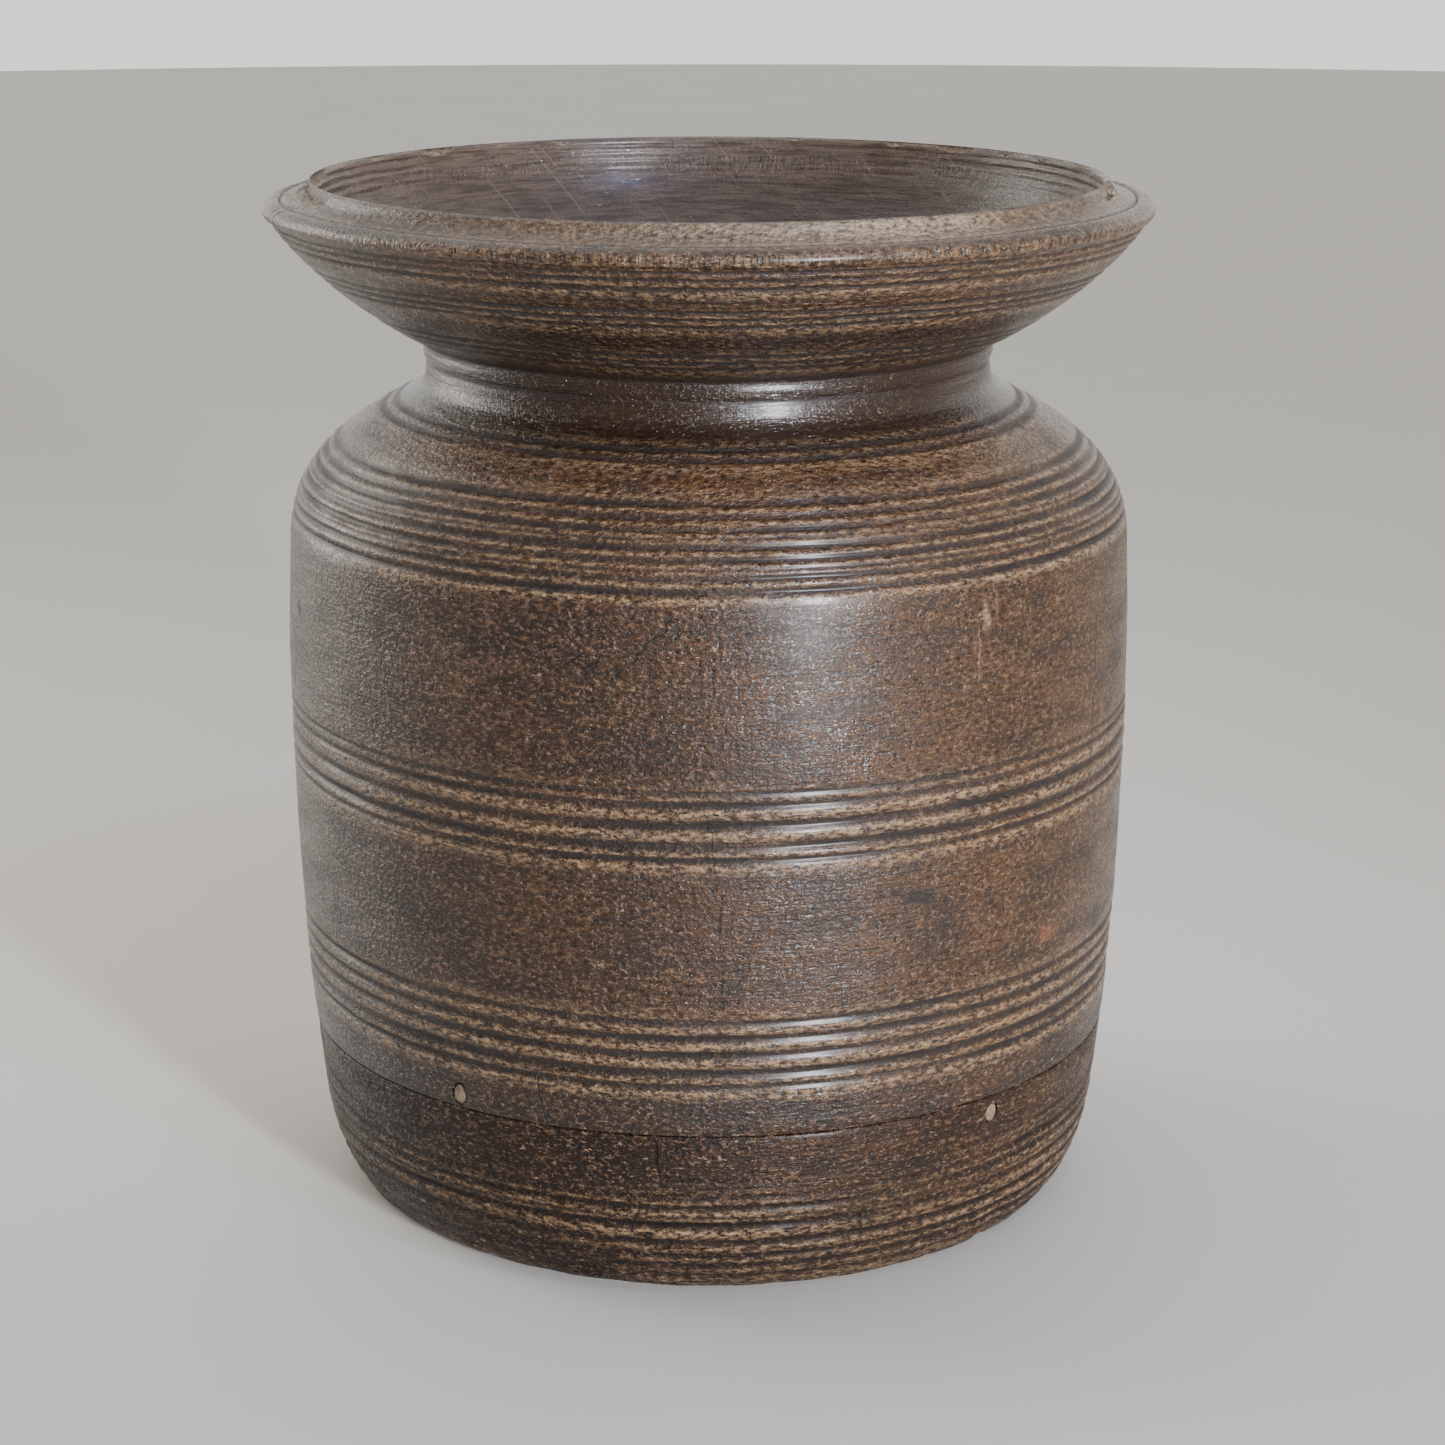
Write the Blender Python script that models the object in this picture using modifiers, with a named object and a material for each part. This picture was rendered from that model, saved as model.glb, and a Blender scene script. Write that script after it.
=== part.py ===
"""Turned wooden pot: a hollowed log body on a pegged, pitched base bowl.

Run with: blender --background --python part.py
Units are metres in the scene; the driving dimensions below are in millimetres.
"""
import math

import bmesh
import bpy
from mathutils import Matrix, Vector

MM = 0.001

# ---------------------------------------------------------------- driving dimensions, in millimetres
SEGMENTS = 56            # sides of every turned piece
GAP = 0.3                # clearance between touching pieces

HEIGHT = 336.0           # table to the top of the lip
BELLY_RADIUS = 139.3     # widest radius of the barrel
BELLY_HEIGHT = 170.0     # height of the widest place
SWELL = 0.0004           # how fast the barrel draws in, per mm squared

SHOULDER_START = 222.0   # top of the barrel
NECK_BOTTOM = 268.0
NECK_TOP = 284.5
NECK_RADIUS = 92.4
NECK_SPRING = 96.5       # radius where the shoulder meets the neck
RIM_UNDERSIDE = 324.2    # height where the flare meets the outer band
RIM_RADIUS = 144.3       # outermost radius of the band
LEDGE_HEIGHT = 331.0     # inner end of the ledge around the lip
LIP_OUTER = 130.4
LIP_INNER = 127.2

JOINT_HEIGHT = 57.3      # the seam between body and base
SPIGOT_RADIUS = 122.0    # outside of the base's tenon
SPIGOT_TOP = 72.0
BASE_INNER = 111.5       # inside of the base's wall
SEAL_CHAMFER = 4.5       # pitch groove at the tenon's inner corner
FOOT_ROUND = 30.0        # height where the side starts to round under
FOOT_OUTER = 116.5       # standing ring
FOOT_INNER = 99.0
FOOT_RECESS = 4.5        # hollow under the base
FLOOR_TOP = 25.0         # inside floor

PEG_RADIUS = 2.5
PEG_LENGTH = 19.0
PEG_SLANT = 42.0         # degrees from level, alternately down and up
PEG_ABOVE = 62.2         # height where a downward peg enters
PEG_BELOW = 51.2         # height where an upward peg enters

# name, turn from the front towards +X in degrees, whether the peg slants down
PEGS = (
    ("peg_front_left", -35.5, True),
    ("peg_front_right", 42.0, False),
    ("peg_back_right", 137.0, True),
    ("peg_back_left", -130.0, False),
)

# turned ring bands: height of the first groove, spacing, number and depth
FLARE_RINGS_HIGH = (318.6, 2.2, 3, 0.7)
FLARE_RINGS_LOW = (308.8, 3.2, 3, 0.7)
SHOULDER_RINGS_HIGH = (262.6, 2.1, 3, 0.7)
SHOULDER_RINGS_LOW = (229.0, 4.3, 6, 0.9)
BELLY_RINGS = (147.7, 5.2, 5, 0.9)
LOWER_RINGS = (74.4, 5.4, 5, 0.9)

# lip segments that have broken away: direction and length along the lip
LIP_BREAKS = ((-81.5, 72.0), (75.5, 18.0))
BREAK_HEIGHT = 331.4


# ---------------------------------------------------------------- profile helpers
def bezier(p0, p1, p2, p3, count):
    """Points (radius, height) along a cubic curve, both ends included."""
    points = []
    for i in range(count + 1):
        t = i / count
        a = (1 - t) ** 3
        b = 3 * t * (1 - t) ** 2
        c = 3 * t * t * (1 - t)
        d = t ** 3
        points.append((a * p0[0] + b * p1[0] + c * p2[0] + d * p3[0],
                       a * p0[1] + b * p1[1] + c * p2[1] + d * p3[1]))
    return points


def barrel(height):
    """Radius of the barrel's outside at a height."""
    return BELLY_RADIUS - SWELL * (height - BELLY_HEIGHT) ** 2


def barrel_run(top, bottom, count):
    """Points down the barrel's outside, both ends included."""
    step = (bottom - top) / count
    return [(barrel(top + i * step), top + i * step) for i in range(count + 1)]


def at_height(curve, height):
    """Point and outward normal on a curve that runs steadily downwards."""
    for (r0, z0), (r1, z1) in zip(curve, curve[1:]):
        if z0 >= height >= z1:
            t = (z0 - height) / (z0 - z1)
            length = math.hypot(r1 - r0, z1 - z0)
            normal = ((z0 - z1) / length, (r1 - r0) / length)
            return (r0 + t * (r1 - r0), height), normal
    raise ValueError("height is off the curve")


def with_rings(curve, coarse, bands):
    """A coarse run down the curve with each band of ring grooves cut into it."""
    points = list(coarse)
    for first, pitch, count, depth in bands:
        low = first - pitch / 2
        high = first + pitch * (count - 0.5)
        points = [p for p in points if not low - 0.6 < p[1] < high + 0.6]
        for i in range(2 * count + 1):
            place, normal = at_height(curve, low + i * pitch / 2)
            cut = depth if i % 2 else 0.0
            points.append((place[0] - cut * normal[0], place[1] - cut * normal[1]))
    return sorted(points, key=lambda p: -p[1])


# ---------------------------------------------------------------- the turned profiles
def flare_curve(count):
    """Underside of the flared rim, from the outer band down to the neck."""
    return bezier((142.4, RIM_UNDERSIDE), (131.0, 308.0), (112.0, 293.0), (94.0, NECK_TOP), count)


def shoulder_curve(count):
    """Shoulder, from the foot of the neck down to the barrel."""
    return bezier((NECK_SPRING, NECK_BOTTOM), (122.5, 255.0), (137.0, 244.5),
                  (barrel(SHOULDER_START), SHOULDER_START), count)


def body_outside():
    """Outside of the body, from the lip down to the seam."""
    rim = [
        (LIP_INNER + 1.6, HEIGHT),
        (LIP_OUTER, HEIGHT - 0.9),
        (LIP_OUTER + 1.2, HEIGHT - 2.8),
        (LIP_OUTER + 3.2, LEDGE_HEIGHT),
        (141.2, LEDGE_HEIGHT - 1.4),
        (143.2, LEDGE_HEIGHT - 2.3),
        (RIM_RADIUS, LEDGE_HEIGHT - 4.3),
        (143.8, LEDGE_HEIGHT - 5.7),
    ]
    flare = with_rings(flare_curve(40), flare_curve(8), (FLARE_RINGS_HIGH, FLARE_RINGS_LOW))
    neck = [
        (NECK_RADIUS, NECK_TOP - 4.0),
        (NECK_RADIUS, NECK_BOTTOM + 6.0),
        (NECK_RADIUS + 1.4, NECK_BOTTOM + 2.4),
    ]
    shoulder = with_rings(shoulder_curve(40), shoulder_curve(8),
                          (SHOULDER_RINGS_HIGH, SHOULDER_RINGS_LOW))
    side = with_rings(barrel_run(SHOULDER_START - 8.0, JOINT_HEIGHT, 60),
                      barrel_run(SHOULDER_START - 8.0, JOINT_HEIGHT, 5),
                      (BELLY_RINGS, LOWER_RINGS))
    return rim + flare + neck + shoulder + side


def body_inside():
    """Inside of the body, from the seam's rebate up to the lip."""
    rebate = [
        (SPIGOT_RADIUS + GAP, JOINT_HEIGHT),
        (SPIGOT_RADIUS + GAP, SPIGOT_TOP + GAP),
        (BASE_INNER + 0.5, SPIGOT_TOP + GAP),
    ]
    lower = bezier((BASE_INNER + 0.5, SPIGOT_TOP + GAP), (123.0, 86.0), (129.4, 105.0), (129.4, 140.0), 5)
    upper = bezier((129.4, 196.0), (129.4, 245.0), (103.0, 251.0), (87.0, 263.5), 6)
    throat = [(83.4, 269.5), (82.8, 276.0), (84.8, 282.6)]
    mouth = bezier((88.5, 287.2), (104.0, 301.0), (124.0, 310.0), (LIP_INNER, HEIGHT - 1.2), 6)
    return rebate + lower[1:] + upper + throat + mouth


def base_section():
    """Half section of the base, from the middle of the floor round to the middle underneath."""
    tenon_inner = SPIGOT_TOP - SEAL_CHAMFER
    inside = [(0.0, FLOOR_TOP), (40.0, FLOOR_TOP)]
    inside += bezier((74.0, FLOOR_TOP + 0.8), (98.0, FLOOR_TOP + 2.0), (110.0, 38.0), (BASE_INNER, 56.0), 5)
    tenon = [
        (BASE_INNER, tenon_inner),
        (BASE_INNER + SEAL_CHAMFER, SPIGOT_TOP),
        (SPIGOT_RADIUS, SPIGOT_TOP),
        (SPIGOT_RADIUS, JOINT_HEIGHT - GAP),
    ]
    side = barrel_run(JOINT_HEIGHT - GAP, FOOT_ROUND, 3)
    turn = bezier((barrel(FOOT_ROUND), FOOT_ROUND), (129.9, 20.0), (126.2, 6.0), (118.6, 0.7), 6)
    under = [
        (FOOT_OUTER, 0.0),
        (FOOT_INNER, 0.0),
        (FOOT_INNER - 4.0, FOOT_RECESS - 1.0),
        (60.0, FOOT_RECESS),
        (0.0, FOOT_RECESS),
    ]
    return inside + tenon + side + turn[1:] + under


def seal_section():
    """Half section of the pitch bead that fills the groove at the tenon's inner corner."""
    top = SPIGOT_TOP - 0.05
    return [
        (BASE_INNER + 0.4, top),
        (BASE_INNER + SEAL_CHAMFER - 0.6, top),
        (BASE_INNER + 0.05, SPIGOT_TOP - SEAL_CHAMFER + 0.5),
        (BASE_INNER - 0.9, SPIGOT_TOP - SEAL_CHAMFER + 1.0),
        (BASE_INNER - 1.2, SPIGOT_TOP - 2.0),
        (BASE_INNER - 0.7, SPIGOT_TOP - 0.6),
    ]


# ---------------------------------------------------------------- building helpers
def material(name, colour, roughness):
    """A plain Principled material."""
    made = bpy.data.materials.new(name)
    made.use_nodes = True
    shader = made.node_tree.nodes["Principled BSDF"]
    shader.inputs["Base Color"].default_value = (*colour, 1.0)
    shader.inputs["Roughness"].default_value = roughness
    shader.inputs["Metallic"].default_value = 0.0
    made.diffuse_color = (*colour, 1.0)
    return made


def turned(name, section, closed, collection):
    """A turned solid: a half section at +X spun about Z by a Screw modifier."""
    mesh = bpy.data.meshes.new(name)
    build = bmesh.new()
    verts = [build.verts.new((r * MM, 0.0, z * MM)) for r, z in section]
    for a, b in zip(verts, verts[1:]):
        build.edges.new((a, b))
    if closed:
        build.edges.new((verts[-1], verts[0]))
    build.to_mesh(mesh)
    build.free()
    made = bpy.data.objects.new(name, mesh)
    collection.objects.link(made)
    screw = made.modifiers.new("Turning", 'SCREW')
    screw.axis = 'Z'
    screw.angle = math.tau
    screw.steps = SEGMENTS
    screw.render_steps = SEGMENTS
    screw.use_merge_vertices = True
    screw.merge_threshold = 0.00005
    screw.use_smooth_shade = True
    return made


def as_cutter(item):
    """Keep a helper solid out of the model."""
    item.hide_render = True
    item.display_type = 'WIRE'


def rod(name, radius, start, direction, length, collection):
    """A round rod from a start point along a direction, its lengths in millimetres."""
    mesh = bpy.data.meshes.new(name)
    build = bmesh.new()
    bmesh.ops.create_cone(build, cap_ends=True, segments=16, radius1=radius * MM,
                          radius2=radius * MM, depth=length * MM)
    build.to_mesh(mesh)
    build.free()
    made = bpy.data.objects.new(name, mesh)
    middle = start + direction * (length / 2)
    made.matrix_world = (Matrix.Translation(middle * MM)
                         @ direction.to_track_quat('Z', 'Y').to_matrix().to_4x4())
    collection.objects.link(made)
    return made


def peg_line(turn, downward):
    """Where a peg's axis meets the outside, and its direction into the wood."""
    height = PEG_ABOVE if downward else PEG_BELOW
    outward = Vector((math.sin(math.radians(turn)), -math.cos(math.radians(turn)), 0.0))
    slant = math.radians(PEG_SLANT)
    rise = -math.sin(slant) if downward else math.sin(slant)
    entry = outward * barrel(height) + Vector((0.0, 0.0, height))
    inward = outward * -math.cos(slant) + Vector((0.0, 0.0, rise))
    return entry, inward


def boolean(target, operation, cutter=None, group=None):
    """An exact Boolean by one object or by a collection of them."""
    cut = target.modifiers.new(operation.title(), 'BOOLEAN')
    cut.operation = operation
    cut.solver = 'EXACT'
    if group is not None:
        cut.operand_type = 'COLLECTION'
        cut.collection = group
    else:
        cut.object = cutter
    return cut


# ---------------------------------------------------------------- the model
for item in list(bpy.data.objects):
    bpy.data.objects.remove(item, do_unlink=True)

pot = bpy.data.collections.new("turned_wooden_pot")
hole_cutters = bpy.data.collections.new("peg_hole_cutters")
lip_cutters = bpy.data.collections.new("lip_cutters")
guides = bpy.data.collections.new("guides")
for group in (pot, hole_cutters, lip_cutters, guides):
    bpy.context.scene.collection.children.link(group)

wood = material("waxed_log_wood", (0.165, 0.098, 0.062), 0.45)
base_wood = material("waxed_base_wood", (0.150, 0.090, 0.058), 0.5)
pitch = material("pine_pitch", (0.020, 0.012, 0.008), 0.3)
peg_wood = material("pale_peg_wood", (0.48, 0.41, 0.33), 0.6)

# the hollowed log, open at both ends, with the base's rebate turned in its lower end
pot_body = turned("pot_body", body_outside() + body_inside(), True, pot)
pot_body.data.materials.append(wood)

# the turned base with its tenon and standing ring
base_bowl = turned("base_bowl", base_section(), False, pot)
base_bowl.data.materials.append(base_wood)

# the pitch bead that closes the joint on the inside
joint_seal = turned("joint_seal", seal_section(), True, pot)
joint_seal.data.materials.append(pitch)

# the pegs, cut flush with the outside, and the holes that they fill
envelope_top = PEG_ABOVE + 16.0
envelope_bottom = PEG_BELOW - 16.0
envelope = turned("peg_envelope",
                  [(0.0, envelope_top)] + barrel_run(envelope_top, envelope_bottom, 6)
                  + [(0.0, envelope_bottom)], False, guides)
as_cutter(envelope)
for name, turn, downward in PEGS:
    entry, inward = peg_line(turn, downward)
    start = entry - inward * 8.0
    peg = rod(name, PEG_RADIUS, start, inward, PEG_LENGTH + 8.0, pot)
    peg.data.materials.append(peg_wood)
    boolean(peg, 'INTERSECT', cutter=envelope)
    hole = rod(name + "_hole", PEG_RADIUS + GAP, start, inward, PEG_LENGTH + 8.0 + GAP, hole_cutters)
    as_cutter(hole)
boolean(base_bowl, 'DIFFERENCE', group=hole_cutters)
boolean(pot_body, 'DIFFERENCE', group=hole_cutters)

# the lengths of lip that are broken away down to the ledge
for number, (turn, length) in enumerate(LIP_BREAKS, 1):
    tool = bpy.data.meshes.new("lip_break_%d" % number)
    build = bmesh.new()
    bmesh.ops.create_cube(build, size=1.0,
                          matrix=Matrix.Diagonal((length * MM, 40.0 * MM, 20.0 * MM, 1.0)))
    build.to_mesh(tool)
    build.free()
    cutter = bpy.data.objects.new(tool.name, tool)
    angle = math.radians(turn)
    cutter.location = (130.0 * MM * math.sin(angle), -130.0 * MM * math.cos(angle),
                       (BREAK_HEIGHT + 10.0) * MM)
    cutter.rotation_euler = (0.0, 0.0, angle)
    lip_cutters.objects.link(cutter)
    as_cutter(cutter)
boolean(pot_body, 'DIFFERENCE', group=lip_cutters)
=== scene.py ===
"""Turned wooden pot: an old hollowed log with a ringed body, a flared rim with a raised lip,
a let-in base, slanted pegs and a pitched joint. Lengths in the code are millimetres unless
a name says otherwise; the scene is in metres."""
import math

import bpy
import numpy as np
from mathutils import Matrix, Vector


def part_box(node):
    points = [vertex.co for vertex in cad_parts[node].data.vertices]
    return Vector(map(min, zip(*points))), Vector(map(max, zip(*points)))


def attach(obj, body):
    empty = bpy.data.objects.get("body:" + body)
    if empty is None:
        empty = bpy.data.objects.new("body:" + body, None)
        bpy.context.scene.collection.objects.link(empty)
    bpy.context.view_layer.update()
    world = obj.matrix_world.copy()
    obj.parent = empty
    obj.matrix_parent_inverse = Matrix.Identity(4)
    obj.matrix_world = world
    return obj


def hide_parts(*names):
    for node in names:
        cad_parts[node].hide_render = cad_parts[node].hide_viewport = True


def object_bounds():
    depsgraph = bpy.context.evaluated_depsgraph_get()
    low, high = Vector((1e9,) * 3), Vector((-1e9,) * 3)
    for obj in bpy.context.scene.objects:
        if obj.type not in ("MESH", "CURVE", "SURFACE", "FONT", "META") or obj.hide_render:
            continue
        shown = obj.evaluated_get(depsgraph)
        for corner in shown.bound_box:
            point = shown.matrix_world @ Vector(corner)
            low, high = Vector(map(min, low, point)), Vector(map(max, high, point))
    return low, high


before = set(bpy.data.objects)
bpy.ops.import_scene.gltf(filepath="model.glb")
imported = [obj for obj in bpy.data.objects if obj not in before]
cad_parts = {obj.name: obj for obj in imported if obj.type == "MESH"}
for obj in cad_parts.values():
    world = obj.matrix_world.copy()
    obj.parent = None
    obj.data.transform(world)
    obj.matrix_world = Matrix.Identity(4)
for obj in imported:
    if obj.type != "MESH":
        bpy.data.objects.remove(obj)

CAD_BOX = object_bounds()

bl_info = {
    "name": "Turned Wooden Pot",
    "version": (1, 0, 0),
    "blender": (4, 5, 0),
    "location": "3D View > Sidebar > Pot",
    "description": "Models an old lathe-turned wooden storage pot and a plain studio stage",
    "category": "Add Mesh",
}

MM = 0.001
POT_HEIGHT = CAD_BOX[1].z / MM
RIM_RADIUS = CAD_BOX[1].x / MM
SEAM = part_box("pot_body")[0].z / MM          # where the body stands on the base
TENON_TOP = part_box("base_bowl")[1].z / MM

# ring grooves as (height, width, depth), from the rim down
FLARE_RINGS = ((322.7, 1.7, 0.55), (320.4, 1.7, 0.5), (317.5, 1.9, 0.6), (309.9, 2.0, 0.6),
    (307.4, 2.0, 0.7), (305.1, 1.9, 0.5), (294.3, 2.0, 0.55), (291.9, 1.9, 0.5),
    (289.8, 1.7, 0.4))
SHOULDER_RINGS = ((264.9, 1.8, 0.6), (262.5, 1.9, 0.6), (252.4, 2.6, 0.75), (249.2, 2.6, 0.75),
    (246.0, 2.5, 0.7), (243.8, 1.7, 0.35), (241.4, 2.9, 1.1), (238.0, 2.8, 0.75),
    (235.5, 1.8, 0.35), (232.9, 2.6, 0.75), (229.0, 3.0, 1.1))
BELLY_RINGS = ((168.2, 2.2, 0.35), (164.3, 3.0, 0.85), (158.0, 3.8, 1.05), (151.4, 3.8, 1.05),
    (147.3, 2.8, 0.75))
LOWER_RINGS = ((95.3, 3.0, 0.75), (90.0, 3.2, 0.9), (84.6, 3.2, 0.9), (78.4, 3.8, 1.05),
    (74.0, 2.8, 0.8))
FOOT_RINGS = ((42.3, 2.2, 0.3), (36.3, 3.0, 0.75), (32.4, 2.8, 0.75), (26.2, 3.2, 0.85),
    (19.9, 3.2, 0.8), (14.8, 2.6, 0.65), (10.7, 2.6, 0.6), (6.3, 2.2, 0.5))
MOUTH_RINGS = ((333.0, 1.9, 0.35), (330.3, 1.9, 0.4), (327.5, 1.9, 0.35), (324.8, 1.9, 0.3))

# pegs: CAD node, turn from the front towards +X in degrees, entry height, whether it slants down
PEGS = (("peg_front_left", -35.5, 62.2, True), ("peg_front_right", 42.0, 51.2, False),
    ("peg_back_right", 137.0, 62.2, True), ("peg_back_left", -130.0, 51.2, False))
PEG_SLANT = 42.0                             # degrees from level
PEG_RADIUS = 2.45
PEG_HOLE_RADIUS = 2.75
BELLY_RADIUS = 139.0                         # where the finish is laid out flat
LIP_SHELF = 331.6                            # height left where the lip is broken away

# broken lengths of lip: (start turn, end turn, ramp at start, ramp at end), in degrees
LIP_BREAKS = ((-100.5, -64.0, 8.0, 0.8), (69.5, 81.5, 2.0, 1.6))
# chips in the lip: (turn, half width in degrees, depth)
LIP_CHIPS = ((-132.5, 3.2, 2.3), (-156.0, 0.9, 1.6), (137.0, 3.6, 2.1), (116.5, 1.5, 2.6),
    (-118.0, 2.0, 1.3), (-145.0, 1.1, 1.5), (148.5, 1.8, 1.4), (126.0, 1.1, 1.9),
    (-20.0, 1.2, 0.4), (31.0, 1.6, 0.5), (166.0, 1.4, 0.5), (104.0, 2.4, 0.8))

# hairline cracks: (turn, height, turn, height, width, strength)
CRACKS = ((-0.5, 163, 0.9, 140, 0.35, 0.35), (0.9, 140, 2.0, 101, 0.35, 0.4),
    (5.0, 113, -1.5, 91, 0.35, 0.3), (-4.5, 221, -12.0, 202, 0.5, 0.7),
    (-23.0, 73, -22.3, 57.3, 0.6, 0.8), (-46.5, 76, -45.0, 50, 0.55, 0.6),
    (-45.0, 50, -33.0, 40, 0.5, 0.5), (62.0, 205, 60.0, 150, 0.5, 0.5),
    (150.0, 210, 146.0, 120, 0.6, 0.7), (-150.0, 140, -148.0, 57.3, 0.6, 0.7),
    (-70.5, 330, -70.0, 322, 0.8, 0.9), (-73.0, 330, -73.6, 321, 0.7, 0.9),
    (-99.0, 236, -96.0, 176, 0.5, 0.6))
BASE_CRACKS = ((-7.6, 55.8, -7.0, 45, 0.6, 0.8), (-7.0, 45, -5.5, 12, 0.45, 0.4),
    (21.0, 31, 21.6, 13, 0.5, 0.5), (100.0, 57, 102.0, 22, 0.6, 0.7))
# marks in the finish: (turn, height, half width, half height)
DARK_MARKS = ((27.5, 131.0, 6.0, 2.4), (-71.5, 202.5, 2.2, 2.2), (24.0, 133.5, 2.5, 1.2),
    (-104.0, 150.0, 9.0, 4.0), (160.0, 190.0, 10.0, 3.5))
PALE_MARKS = ((37.2, 215.5, 1.3, 4.8), (36.0, 204.0, 0.5, 8.0), (-13.5, 113.0, 0.9, 1.0),
    (-118.0, 120.0, 2.0, 5.0))
TAN_MARKS = ((64.0, 172.0, 2.2, 4.8), (51.0, 107.0, 7.0, 3.0), (118.0, 205.0, 3.0, 6.0))


# ---- helpers
def linear(hex_colour, alpha=1.0):
    """An sRGB hex colour as linear RGBA."""
    channels = [int(hex_colour.lstrip("#")[i:i + 2], 16) / 255 for i in (0, 2, 4)]
    return tuple(c / 12.92 if c <= 0.04045 else ((c + 0.055) / 1.055) ** 2.4
        for c in channels) + (alpha,)


def add(tree, kind, ins=None, out=0, **settings):
    """Adds a node with its settings and its input values or links, and returns one output."""
    made = tree.nodes.new(kind)
    for key, value in settings.items():
        setattr(made, key, value)
    for key, value in (ins or {}).items():
        if isinstance(value, bpy.types.NodeSocket):
            tree.links.new(value, made.inputs[key])
        else:
            made.inputs[key].default_value = value
    return made.outputs[out]


def drift(turn, height, swells, pitch, seed):
    """Smooth seamless noise, -1 to 1: `swells` waves round, one step per `pitch` of height."""
    lattice = np.random.default_rng(seed).uniform(-1, 1, (swells, 512))
    u = (np.asarray(turn) / 360.0 % 1.0) * swells
    v = np.asarray(height) / pitch + 40.0
    i, j = np.floor(u).astype(int), np.floor(v).astype(int)
    fu, fv = u - i, v - j
    fu, fv = fu * fu * (3 - 2 * fu), fv * fv * (3 - 2 * fv)
    i0, i1, j0, j1 = i % swells, (i + 1) % swells, j % 512, (j + 1) % 512
    low = lattice[i0, j0] * (1 - fu) + lattice[i1, j0] * fu
    high = lattice[i0, j1] * (1 - fu) + lattice[i1, j1] * fu
    return low * (1 - fv) + high * fv


def curve(p0, p1, p2, p3, count):
    """Points (radius, height) along a cubic curve, both ends included."""
    t = np.linspace(0, 1, count + 1)[:, None]
    p0, p1, p2, p3 = (np.array(p, float) for p in (p0, p1, p2, p3))
    return (1 - t) ** 3 * p0 + 3 * t * (1 - t) ** 2 * p1 + 3 * t * t * (1 - t) * p2 + t ** 3 * p3


def barrel(height):
    """Radius of the barrel's outside at a height."""
    return 139.3 - 0.0004 * (height - 170.0) ** 2


def side_rows(line, top, bottom, rings, plain=3.8):
    """Rows down a smooth side line: close together in each ring groove and wide apart between."""
    heights = [top, bottom]
    for height, width, _ in rings:
        heights += [height + width / 2 * t for t in (-1.35, -0.85, -0.35, 0.1, 0.6, 1.15)]
    heights = sorted(h for h in heights if bottom <= h <= top)
    rows = [heights[0]]
    for h in heights[1:]:
        gap = h - rows[-1]
        if gap < 0.24 and h != top:
            continue
        steps = max(1, math.ceil(gap / plain))
        rows += [rows[-1] + gap * k / steps for k in range(1, steps + 1)]
    rows = np.array(rows[::-1])
    order = np.argsort(line[:, 1])
    return np.column_stack([np.interp(rows, line[order, 1], line[order, 0]), rows])


def only(item):
    """Selects one object and makes it active."""
    bpy.ops.object.select_all(action='DESELECT')
    item.select_set(True)
    bpy.context.view_layer.objects.active = item


def turn_profile(name, rows, closed, sides):
    """Extrudes a profile point by point at +X and spins it into a turned solid."""
    rows = np.asarray(rows, float)
    bpy.ops.object.select_all(action='DESELECT')
    bpy.ops.mesh.primitive_plane_add(size=MM, location=(rows[0, 0] * MM, 0, rows[0, 1] * MM))
    item = bpy.context.object
    item.name = item.data.name = name
    bpy.ops.object.transform_apply(location=True, rotation=True, scale=True)
    bpy.ops.object.mode_set(mode='EDIT')
    bpy.ops.mesh.select_all(action='SELECT')
    bpy.ops.mesh.merge(type='CENTER')
    for dr, dz in np.diff(rows, axis=0):
        bpy.ops.mesh.extrude_region_move(
            TRANSFORM_OT_translate={"value": (dr * MM, 0.0, dz * MM)})
    bpy.ops.object.mode_set(mode='OBJECT')
    if closed:
        for index in (0, len(item.data.vertices) - 1):
            item.data.vertices[index].select = True
        bpy.ops.object.mode_set(mode='EDIT')
        bpy.ops.mesh.edge_face_add()
        bpy.ops.object.mode_set(mode='OBJECT')
    marker = item.data.attributes.new("row", 'FLOAT', 'POINT')
    marker.data.foreach_set("value", np.arange(len(item.data.vertices), dtype=np.float32))
    bpy.ops.object.mode_set(mode='EDIT')
    bpy.ops.mesh.select_all(action='SELECT')
    bpy.ops.mesh.spin(steps=sides, angle=math.tau, center=(0, 0, 0), axis=(0, 0, 1))
    bpy.ops.mesh.select_all(action='SELECT')
    bpy.ops.mesh.remove_doubles(threshold=0.00002)
    bpy.ops.mesh.normals_make_consistent(inside=False)
    bpy.ops.object.mode_set(mode='OBJECT')
    return item


def read(item):
    """Turn in degrees, radius and height in millimetres, and profile row, for each vertex."""
    co = np.empty(len(item.data.vertices) * 3)
    item.data.vertices.foreach_get("co", co)
    co = co.reshape(-1, 3) / MM
    row = np.empty(len(item.data.vertices), np.float32)
    item.data.attributes["row"].data.foreach_get("value", row)
    return (np.degrees(np.arctan2(co[:, 0], -co[:, 1])), np.hypot(co[:, 0], co[:, 1]),
        co[:, 2].copy(), row)


def write(item, turn, radius, height, **tints):
    """Moves the vertices and stores each tint as a vertex attribute for the finish."""
    a = np.radians(turn)
    co = np.column_stack([radius * np.sin(a), -radius * np.cos(a), height]) * MM
    item.data.vertices.foreach_set("co", co.ravel())
    for key, values in tints.items():
        made = item.data.attributes.get(key) or item.data.attributes.new(key, 'FLOAT', 'POINT')
        made.data.foreach_set("value", np.asarray(values, np.float32))
    item.data.update()


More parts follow.
